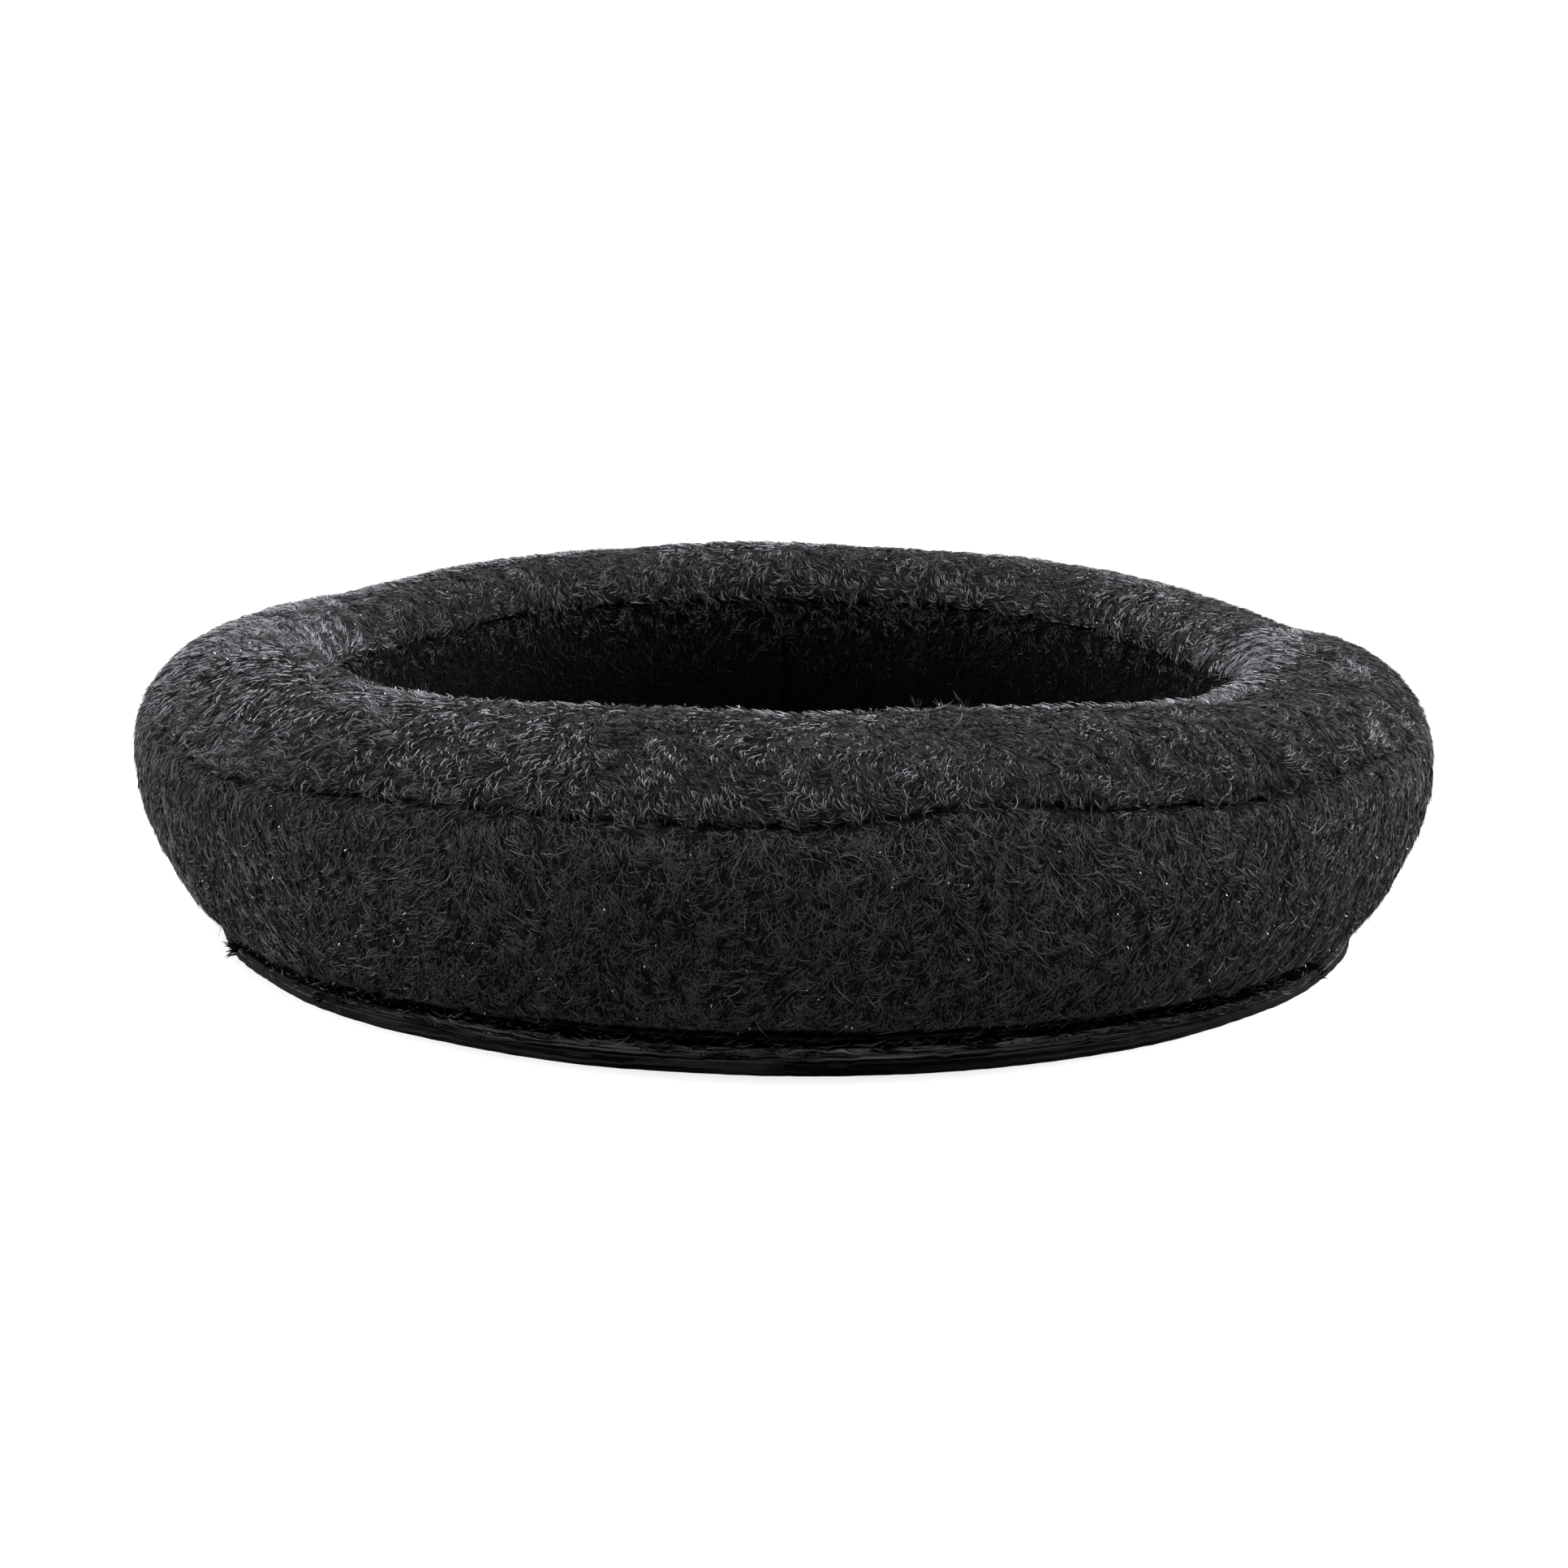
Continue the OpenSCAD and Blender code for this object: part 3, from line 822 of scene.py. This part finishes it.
def leatherette_material():
    """Fine pebbled grain on a brown-black film with a low gloss."""
    material = plain_material("leatherette", (0.006, 0.005, 0.0045), 0.5)
    sizes = {"Patch size": 5, "Grain size": 0.6}
    use_group(material, mottle, (0.004, 0.0033, 0.003), (0.014, 0.011, 0.0095), sizes)
    tree = material.node_tree
    coords = add_node(tree, "ShaderNodeTexCoord")
    pebbles = add_node(tree, "ShaderNodeTexVoronoi", {"Scale": 1 / (0.5 * MM)})
    wire(tree, (coords.outputs["Object"], pebbles.inputs["Vector"]))
    emboss(material, pebbles.outputs["Distance"], 0.5, 0.1)
    return material


skirt.data.materials.append(leatherette_material())
cut_leatherette = cut_edge(
    "cut_leatherette", (0.001, 0.0009, 0.0009), (0.025, 0.023, 0.0225), 12, 0.2, 0.9
)
paint_edge(skirt, cut_leatherette, skirt_floor + 0.05 * MM, panel_z - 0.05 * MM, flange_r - edge_depth)
trim(skirt, 1)
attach(skirt, "base")
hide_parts("mounting_skirt")


# ---------------------------------------------------------------- The stitches
# Lockstitches of black polyester thread. Each seam has a needle thread on one side and a bobbin
# thread on the other, and both dip into the cloth at every hole.

thread_material = soft_material(
    "thread", (0.001, 0.001, 0.001), (0.006, 0.006, 0.006), 1, 0.12, 0.8, 0.6, roughness=0.8
)
thread_d = 0.35 * MM
stitch_pitch = 4 * MM
sunk = 0.15 * MM


def thread_piece(name, path, cyclic):
    """A round thread along a path of points, as a mesh."""
    curve = bpy.data.curves.new(name, "CURVE")
    curve.dimensions = "3D"
    curve.bevel_depth = thread_d / 2
    curve.bevel_resolution = 1
    curve.use_fill_caps = True
    spline = curve.splines.new("POLY")
    spline.points.add(len(path) - 1)
    for knot, place in zip(spline.points, path):
        knot.co = (*place, 1)
    spline.use_cyclic_u = cyclic
    holder = bpy.data.objects.new(name, curve)
    mesh = bpy.data.meshes.new_from_object(holder)
    bpy.data.objects.remove(holder)
    bpy.data.curves.remove(curve)
    mesh.name = name
    for face in mesh.polygons:
        face.use_smooth = True
    piece = link(bpy.data.objects.new(name, mesh))
    mesh.materials.append(thread_material)
    return piece


def stitch_row(name, node, z_lie, z_dip):
    """The stitches round a seam, in the place of the CAD thread that they replace."""
    reach = radii(node)
    r = (reach[0] + reach[1]) / 2
    z_lie += (z_dip > z_lie) * 2 * sunk - sunk
    count = round(2 * math.pi * r / stitch_pitch)
    path = []
    for hole in range(count):
        for share, z in ((0, z_dip), (0.09, z_lie), (0.5, z_lie), (0.91, z_lie)):
            angle = (hole + 0.5 + share) * 2 * math.pi / count
            spot = Vector((r * math.cos(angle), r * math.sin(angle), z))
            settle(spot)
            path.append(spot)
    piece = thread_piece(name, path, True)
    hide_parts(node)
    return piece


def thread_levels(node, needle):
    """Where a CAD thread lies on its ply and how deep its legs go."""
    low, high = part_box(node)
    lie = high.z - thread_d / 2 if needle else low.z + thread_d / 2
    dip = low.z + thread_d / 2 if needle else high.z - thread_d / 2
    return lie, dip


for seam in ("outer_seam", "inner_seam", "base_seam", "inner_base"):
    for kind in ("needle", "bobbin"):
        node = f"{seam}_{kind}_thread"
        row = stitch_row(f"{seam}_{kind}_stitches", node, *thread_levels(node, kind == "needle"))
        if "base" in seam:
            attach(row, "base")
        elif kind == "needle":
            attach(row, "face")
        else:
            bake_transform(row)

join_depth = cloth_t + 1.5 * MM
for wall, first, t0, t1, second, t2, t3 in (
    ("outer_wall", lower_wall, 0.4, 1, upper_wall, 0, 0.05),
    ("inner_wall", throat_top, 0.4, 1, throat_low, 0, 0.65),
):
    node = f"{wall}_join_thread"
    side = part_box(node)[1].x - thread_d / 2
    knots = [inside(first, t0 + (t1 - t0) * i / 4, join_depth) for i in range(4)]
    knots += [inside(second, t2 + (t3 - t2) * i / 4, join_depth) for i in range(4)]
    path = [Vector((side if i % 2 == 0 else -side, knot.x, knot.y)) for i, knot in enumerate(knots)]
    for spot in path:
        settle(spot)
    row = thread_piece(f"{wall}_join_stitches", path, False)
    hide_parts(node)
    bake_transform(row)


# ---------------------------------------------------------------- The nap
# The long brushed fibres of the microsuede. They lie over the cloth in loose curls, combed up and
# down on the sides of the outer wall, and they catch the light above a cloth that is almost black.

root_depth = 0.04


def fibre(name, tone, length, curl, lean, rise, width, segments):
    """One fibre that lies along X on the cloth: a thin pointed strip, painted dark at its root as
    painted shade at the foot of the pile, that curls sideways, leans over and lifts off. Its length,
    rise and width are in millimetres."""
    bm = bmesh.new()
    bmesh.ops.create_grid(bm, x_segments=segments, y_segments=1, size=0.5)
    for face in bm.faces:
        face.material_index = 1 if face.calc_center_median().x > -0.5 + 1 / segments else 0
    for vertex in bm.verts:
        s = vertex.co.x + 0.5
        heading = curl * (s - 0.3)
        half = width * vertex.co.y * (1 - s * s)
        tilt = lean * (0.5 + s)
        vertex.co = Vector((
            length * math.sin(heading) / curl - half * math.sin(heading),
            length * (1 - math.cos(heading)) / curl + half * math.cos(heading) * math.cos(tilt),
            rise * (1 - (1 - s) ** 1.6) + half * math.sin(tilt) - root_depth,
        )) * MM
    bmesh.ops.remove_doubles(bm, verts=bm.verts, dist=weld)
    mesh = bpy.data.meshes.new(name)
    bm.to_mesh(mesh)
    bm.free()
    mesh.materials.append(tone_root_shade)
    mesh.materials.append(tone)
    return bpy.data.objects.new(name, mesh)


def fibre_mix(name, seed, tones, lengths, bends, rises, width, segments):
    """A collection of fibres that differ a little, which isn't shown itself. Lengths, bends and
    rises are ranges, and a bend is in radians."""
    chance = random.Random(seed)
    mix = bpy.data.collections.new(name)
    for i in range(12):
        mix.objects.link(fibre(
            f"{name}_{i:02d}", tones[i % len(tones)], chance.uniform(*lengths),
            chance.choice((-1, 1)) * chance.uniform(*bends), (-1) ** (i // 2) * chance.uniform(0.6, 1),
            chance.uniform(*rises), width, segments,
        ))
    return mix


def fibre_tone(name, grey, gloss):
    return plain_material(name, (grey, grey, grey * 1.1), 0.85, gloss)


# Fibre roots are painted darker than the fibres as painted shade at the foot of the pile
tone_root_shade = fibre_tone("nap_root_shade", 0.004, 0.04)
tone_deep = fibre_tone("nap_deep", 0.008, 0.08)
tone_mid = fibre_tone("nap_mid", 0.036, 0.12)
tone_light = fibre_tone("nap_light", 0.1, 0.15)
tone_wall_deep = fibre_tone("nap_wall_deep", 0.027, 0.08)
tone_wall = fibre_tone("nap_wall", 0.048, 0.12)
tone_painted_shade = fibre_tone("nap_painted_shade", 0.01, 0.04)
tone_lint = fibre_tone("lint", 0.5, 0.3)
undercoat = fibre_mix("undercoat", 1, [tone_deep, tone_mid], (0.4, 0.75), (0.3, 1.2), (0.1, 0.22), 0.12, 2)
curls = fibre_mix(
    "curls", 2, [tone_mid, tone_deep, tone_light, tone_mid, tone_deep],
    (0.7, 1.5), (0.4, 1.9), (0.16, 0.36), 0.066, 3,
)
wall_undercoat = fibre_mix(
    "wall_undercoat", 7, [tone_wall_deep, tone_wall], (0.4, 0.75), (0.3, 1.2), (0.1, 0.22), 0.12, 2
)
wall_curls = fibre_mix(
    "wall_curls", 6, [tone_wall, tone_wall_deep, tone_wall],
    (0.8, 1.7), (0.3, 1.7), (0.12, 0.26), 0.062, 3,
)
strays = fibre_mix(
    "strays", 3, [tone_mid, tone_light, tone_mid], (1.4, 2.4), (0.5, 2.2), (0.2, 0.45), 0.05, 5
)
lint = fibre_mix("lint", 4, [tone_lint], (0.13, 0.22), (0.3, 1), (0.38, 0.46), 0.13, 2)
# The inner wall's fibres are darker than the outer wall's: painted shade inside the ring
inner_coat = fibre_mix("inner_coat", 5, [tone_painted_shade], (0.5, 0.9), (0.6, 1.8), (0.1, 0.25), 0.12, 2)
inner_top = fibre_mix("inner_top", 8, [tone_wall_deep], (0.5, 0.9), (0.6, 1.8), (0.12, 0.28), 0.12, 2)


overgrown_seams = [(207, 0.42, 0.6), (247, 0.15, 0.1)]


def comb(piece, lay, bare_z=None, full_z=None):
    """Stores how the nap lies on a piece: its direction along the cloth, how far fibres stray from
    it, and how thick it is. lay gives, for a point, the angle from downhill and the stray angle.
    The nap thins out downwards between two heights, where these are given."""
    mesh = piece.data
    for name, kind in (("comb", "FLOAT_VECTOR"), ("loose", "FLOAT"), ("thick", "FLOAT")):
        if name not in mesh.attributes:
            mesh.attributes.new(name, kind, "POINT")
    direction, loose, thick = (mesh.attributes[name].data for name in ("comb", "loose", "thick"))
    share = mesh.attributes["skin"].data
    normals = [n.vector.copy() for n in mesh.vertex_normals]
    elsewhere = Vector((0.1, 0, 0))
    for i, (vertex, normal) in enumerate(zip(mesh.vertices, normals)):
        around = Vector((-vertex.co.y, vertex.co.x, 0)).normalized()
        downhill = around.cross(normal).normalized()
        if downhill.z > 0:
            downhill.negate()
        angle, stray_angle = lay(vertex.co)
        direction[i].vector = downhill * math.cos(angle) + around * math.sin(angle)
        loose[i].value = stray_angle
        hidden = 0.2
        if vertex.co.xy.length > crown_r:
            hidden = uneven(vertex.co, overgrown_seams) * (vertex.co.z > widest_z)
        cover = min(1, max(0, (share[i].value - 0.25 + hidden) / 0.15))
        if full_z:
            cover *= ease((vertex.co.z - bare_z) / (full_z - bare_z))
        thick[i].value = cover * (1 + 0.8 * noise_at(vertex.co + elsewhere, 1.5))


def scatter_tree(name, mix, per_mm2, seed, bare, tuft):
    """Geometry nodes that lay the fibres of a mix over a cloth's skin, along its comb, and leave
    that share of it bare between tufts of that size, in millimetres."""
    tree = bpy.data.node_groups.new(name, "GeometryNodeTree")
    tree.interface.new_socket("Cloth", in_out="INPUT", socket_type="NodeSocketGeometry")
    tree.interface.new_socket("Nap", in_out="OUTPUT", socket_type="NodeSocketGeometry")

    def stored(attribute, kind):
        made = add_node(tree, "GeometryNodeInputNamedAttribute", {"Name": attribute}, data_type=kind)
        return made.outputs["Attribute"]

    def chance(low, high, own_seed):
        made = add_node(tree, "FunctionNodeRandomValue", {"Seed": own_seed}, data_type="FLOAT")
        made.inputs[2].default_value = low
        made.inputs[3].default_value = high
        return made.outputs[1]

    cloth = add_node(tree, "NodeGroupInput")
    nap = add_node(tree, "NodeGroupOutput")
    density = add_node(tree, "ShaderNodeMath", operation="MULTIPLY")
    density.inputs[1].default_value = per_mm2 / MM ** 2
    roots = add_node(tree, "GeometryNodeDistributePointsOnFaces", {"Seed": seed})
    combed = add_node(tree, "FunctionNodeAlignRotationToVector", axis="X", pivot_axis="Z")
    astray = add_node(tree, "ShaderNodeMath", operation="MULTIPLY")
    swivel = add_node(tree, "FunctionNodeAxisAngleToRotation", {"Axis": (0, 0, 1)})
    turned = add_node(tree, "FunctionNodeRotateRotation", rotation_space="LOCAL")
    kinds = add_node(
        tree, "GeometryNodeCollectionInfo",
        {"Collection": mix, "Separate Children": True, "Reset Children": True},
    )
    tufts = add_node(tree, "ShaderNodeTexNoise", {"Scale": 1 / (tuft * MM), "Detail": 1})
    in_tuft = add_node(tree, "FunctionNodeCompare", data_type="FLOAT", operation="GREATER_THAN")
    in_tuft.inputs[1].default_value = bare
    planted = add_node(tree, "GeometryNodeInstanceOnPoints", {"Pick Instance": True})
    single = add_node(tree, "GeometryNodeRealizeInstances")
    wire(
        tree,
        (stored("thick", "FLOAT"), density.inputs[0]),
        (cloth.outputs["Cloth"], roots.inputs["Mesh"]),
        (density.outputs[0], roots.inputs["Density"]),
        (roots.outputs["Rotation"], combed.inputs["Rotation"]),
        (stored("comb", "FLOAT_VECTOR"), combed.inputs["Vector"]),
        (stored("loose", "FLOAT"), astray.inputs[0]),
        (chance(-1, 1, seed + 50), astray.inputs[1]),
        (astray.outputs[0], swivel.inputs["Angle"]),
        (combed.outputs["Rotation"], turned.inputs["Rotation"]),
        (swivel.outputs["Rotation"], turned.inputs["Rotate By"]),
        (roots.outputs["Points"], planted.inputs["Points"]),
        (tufts.outputs["Fac"], in_tuft.inputs[0]),
        (in_tuft.outputs["Result"], planted.inputs["Selection"]),
        (kinds.outputs["Instances"], planted.inputs["Instance"]),
        (turned.outputs["Rotation"], planted.inputs["Rotation"]),
        (chance(0.7, 1.3, seed + 90), planted.inputs["Scale"]),
        (planted.outputs["Instances"], single.inputs["Geometry"]),
        (single.outputs["Geometry"], nap.inputs["Nap"]),
    )
    return tree


def grow(name, cloth, mix, per_mm2, seed, bare=0.5, tuft=0.6):
    """A layer of fibres on a cloth, as a mesh of its own, with that many to the square millimetre."""
    holder = link(bpy.data.objects.new(name, cloth.data.copy()))
    layer = holder.modifiers.new("nap", "NODES")
    layer.node_group = scatter_tree(name, mix, per_mm2, seed, bare, tuft)
    grown = bpy.data.meshes.new_from_object(holder.evaluated_get(bpy.context.evaluated_depsgraph_get()))
    grown.name = name
    bpy.data.objects.remove(holder)
    for attribute in ("skin", "comb", "loose", "thick"):
        if attribute in grown.attributes:
            grown.attributes.remove(grown.attributes[attribute])
    return link(bpy.data.objects.new(name, grown))


def face_lay(point):
    return 2.6 * noise_at(point, 11) + 2.4 * noise_at(point, 1.5), 0.5


def outer_lay(point):
    if point.z < hem_top:
        return math.pi / 2, 0.6
    front = max(0, -point.y / widest_r) ** 3
    swirl = 0.8 * noise_at(point, 9) + 1.6 * front * noise_at(point, 5)
    return swirl + (1.2 + 1.2 * front) * noise_at(point, 1.3), 0.45 + 0.45 * front


def inner_lay(point):
    return 1.2 * noise_at(point, 9) + 2 * noise_at(point, 1.5), 0.6


comb(face, face_lay)
comb(outer_wall, outer_lay)
# On the inner wall the nap thins out downwards and bares its darker cloth: painted shade, deeper towards the
# bottom of the ring
comb(inner_wall, inner_lay, 11 * MM, 17 * MM)

# Each layer is (fibres, how many to the square millimetre)
face_layers = [(undercoat, 12), (curls, 9.5), (curls, 9.5), (curls, 9.5), (strays, 1), (lint, 0.07)]
for number, (mix, per_mm2) in enumerate(face_layers, start=1):
    layer = grow(f"face_nap_{number}", face, mix, per_mm2, 10 + number, bare=0.44)
    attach(layer, "face")
wall_layers = [
    (wall_undercoat, 14), (wall_curls, 8.6), (wall_curls, 8.6), (wall_curls, 8.6), (strays, 1), (lint, 0.07)
]
for number, (mix, per_mm2) in enumerate(wall_layers, start=1):
    layer = grow(f"outer_wall_nap_{number}", outer_wall, mix, per_mm2, 20 + number, bare=0.43)
    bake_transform(layer)
# The inner wall's lighter top coat thins out below the seam, so the wall is painted darker towards the
# bottom as painted shade
inner_layers = [(inner_coat, 11), (inner_coat, 11), (inner_top, 14), (inner_top, 14)]
for number, (mix, per_mm2) in enumerate(inner_layers, start=1):
    if mix == inner_top:
        comb(inner_wall, inner_lay, 15 * MM, 18 * MM)
    layer = grow(f"inner_wall_nap_{number}", inner_wall, mix, per_mm2, 30 + number)
    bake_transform(layer)


def frays(name, body, tufts):
    """Loose ends that stand out of the nap. tufts holds each one's (direction in degrees, radius,
    height, its lean as (out, up), how many fibres), and the name seeds their draws."""
    chance = random.Random(name)
    bm = bmesh.new()
    for degrees, radius, height, (out, up), count in tufts:
        angle = math.radians(degrees)
        spoke = Vector((math.cos(angle), math.sin(angle), 0))
        for _ in range(count):
            before = len(bm.verts)
            bm.from_mesh(chance.choice(undercoat.objects).data)
            bm.verts.ensure_lookup_table()
            sway = Vector([chance.uniform(-0.6, 0.6) for _ in range(3)])
            place = spoke * radius + Vector((0, 0, height)) + sway * (0.5 * MM)
            settle(place)
            turn = Vector((1, 0, 0)).rotation_difference(out * spoke + Vector((0, 0, up)) + sway).to_matrix()
            size = chance.uniform(1.2, 2)
            for vertex in bm.verts[before:]:
                vertex.co = place + turn @ (vertex.co * size)
    mesh = bpy.data.meshes.new(name)
    bm.to_mesh(mesh)
    bm.free()
    for tone in (tone_root_shade, tone_deep):
        mesh.materials.append(tone)
    piece = link(bpy.data.objects.new(name, mesh))
    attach(piece, body)


rim_top_r = crown_r - 1 * MM
rim_side_r = crown_r - 1.5 * MM
rim_side_z = pad_top - 0.3 * MM
frays("rim_frays", "face", [
    (283, rim_top_r, pad_top, (0, 1), 6), (286, rim_side_r, rim_side_z, (-0.4, 0.8), 6),
    (288, rim_top_r, pad_top, (0.3, 0.8), 5), (229, rim_side_r, rim_side_z, (0.3, 0.8), 5),
])
ply_r = flange_r + 0.5 * MM
frays("hem_frays", "base", [
    (206, ply_r + 0.1 * MM, hem_z, (1, 0.2), 14), (224, ply_r, hem_z, (1, -0.1), 9),
    (227, ply_r, hem_z, (1, 0.1), 9), (331, ply_r, hem_z, (1, 0.4), 12),
    (272, ply_r, hem_z, (0.8, 0.5), 9),
])
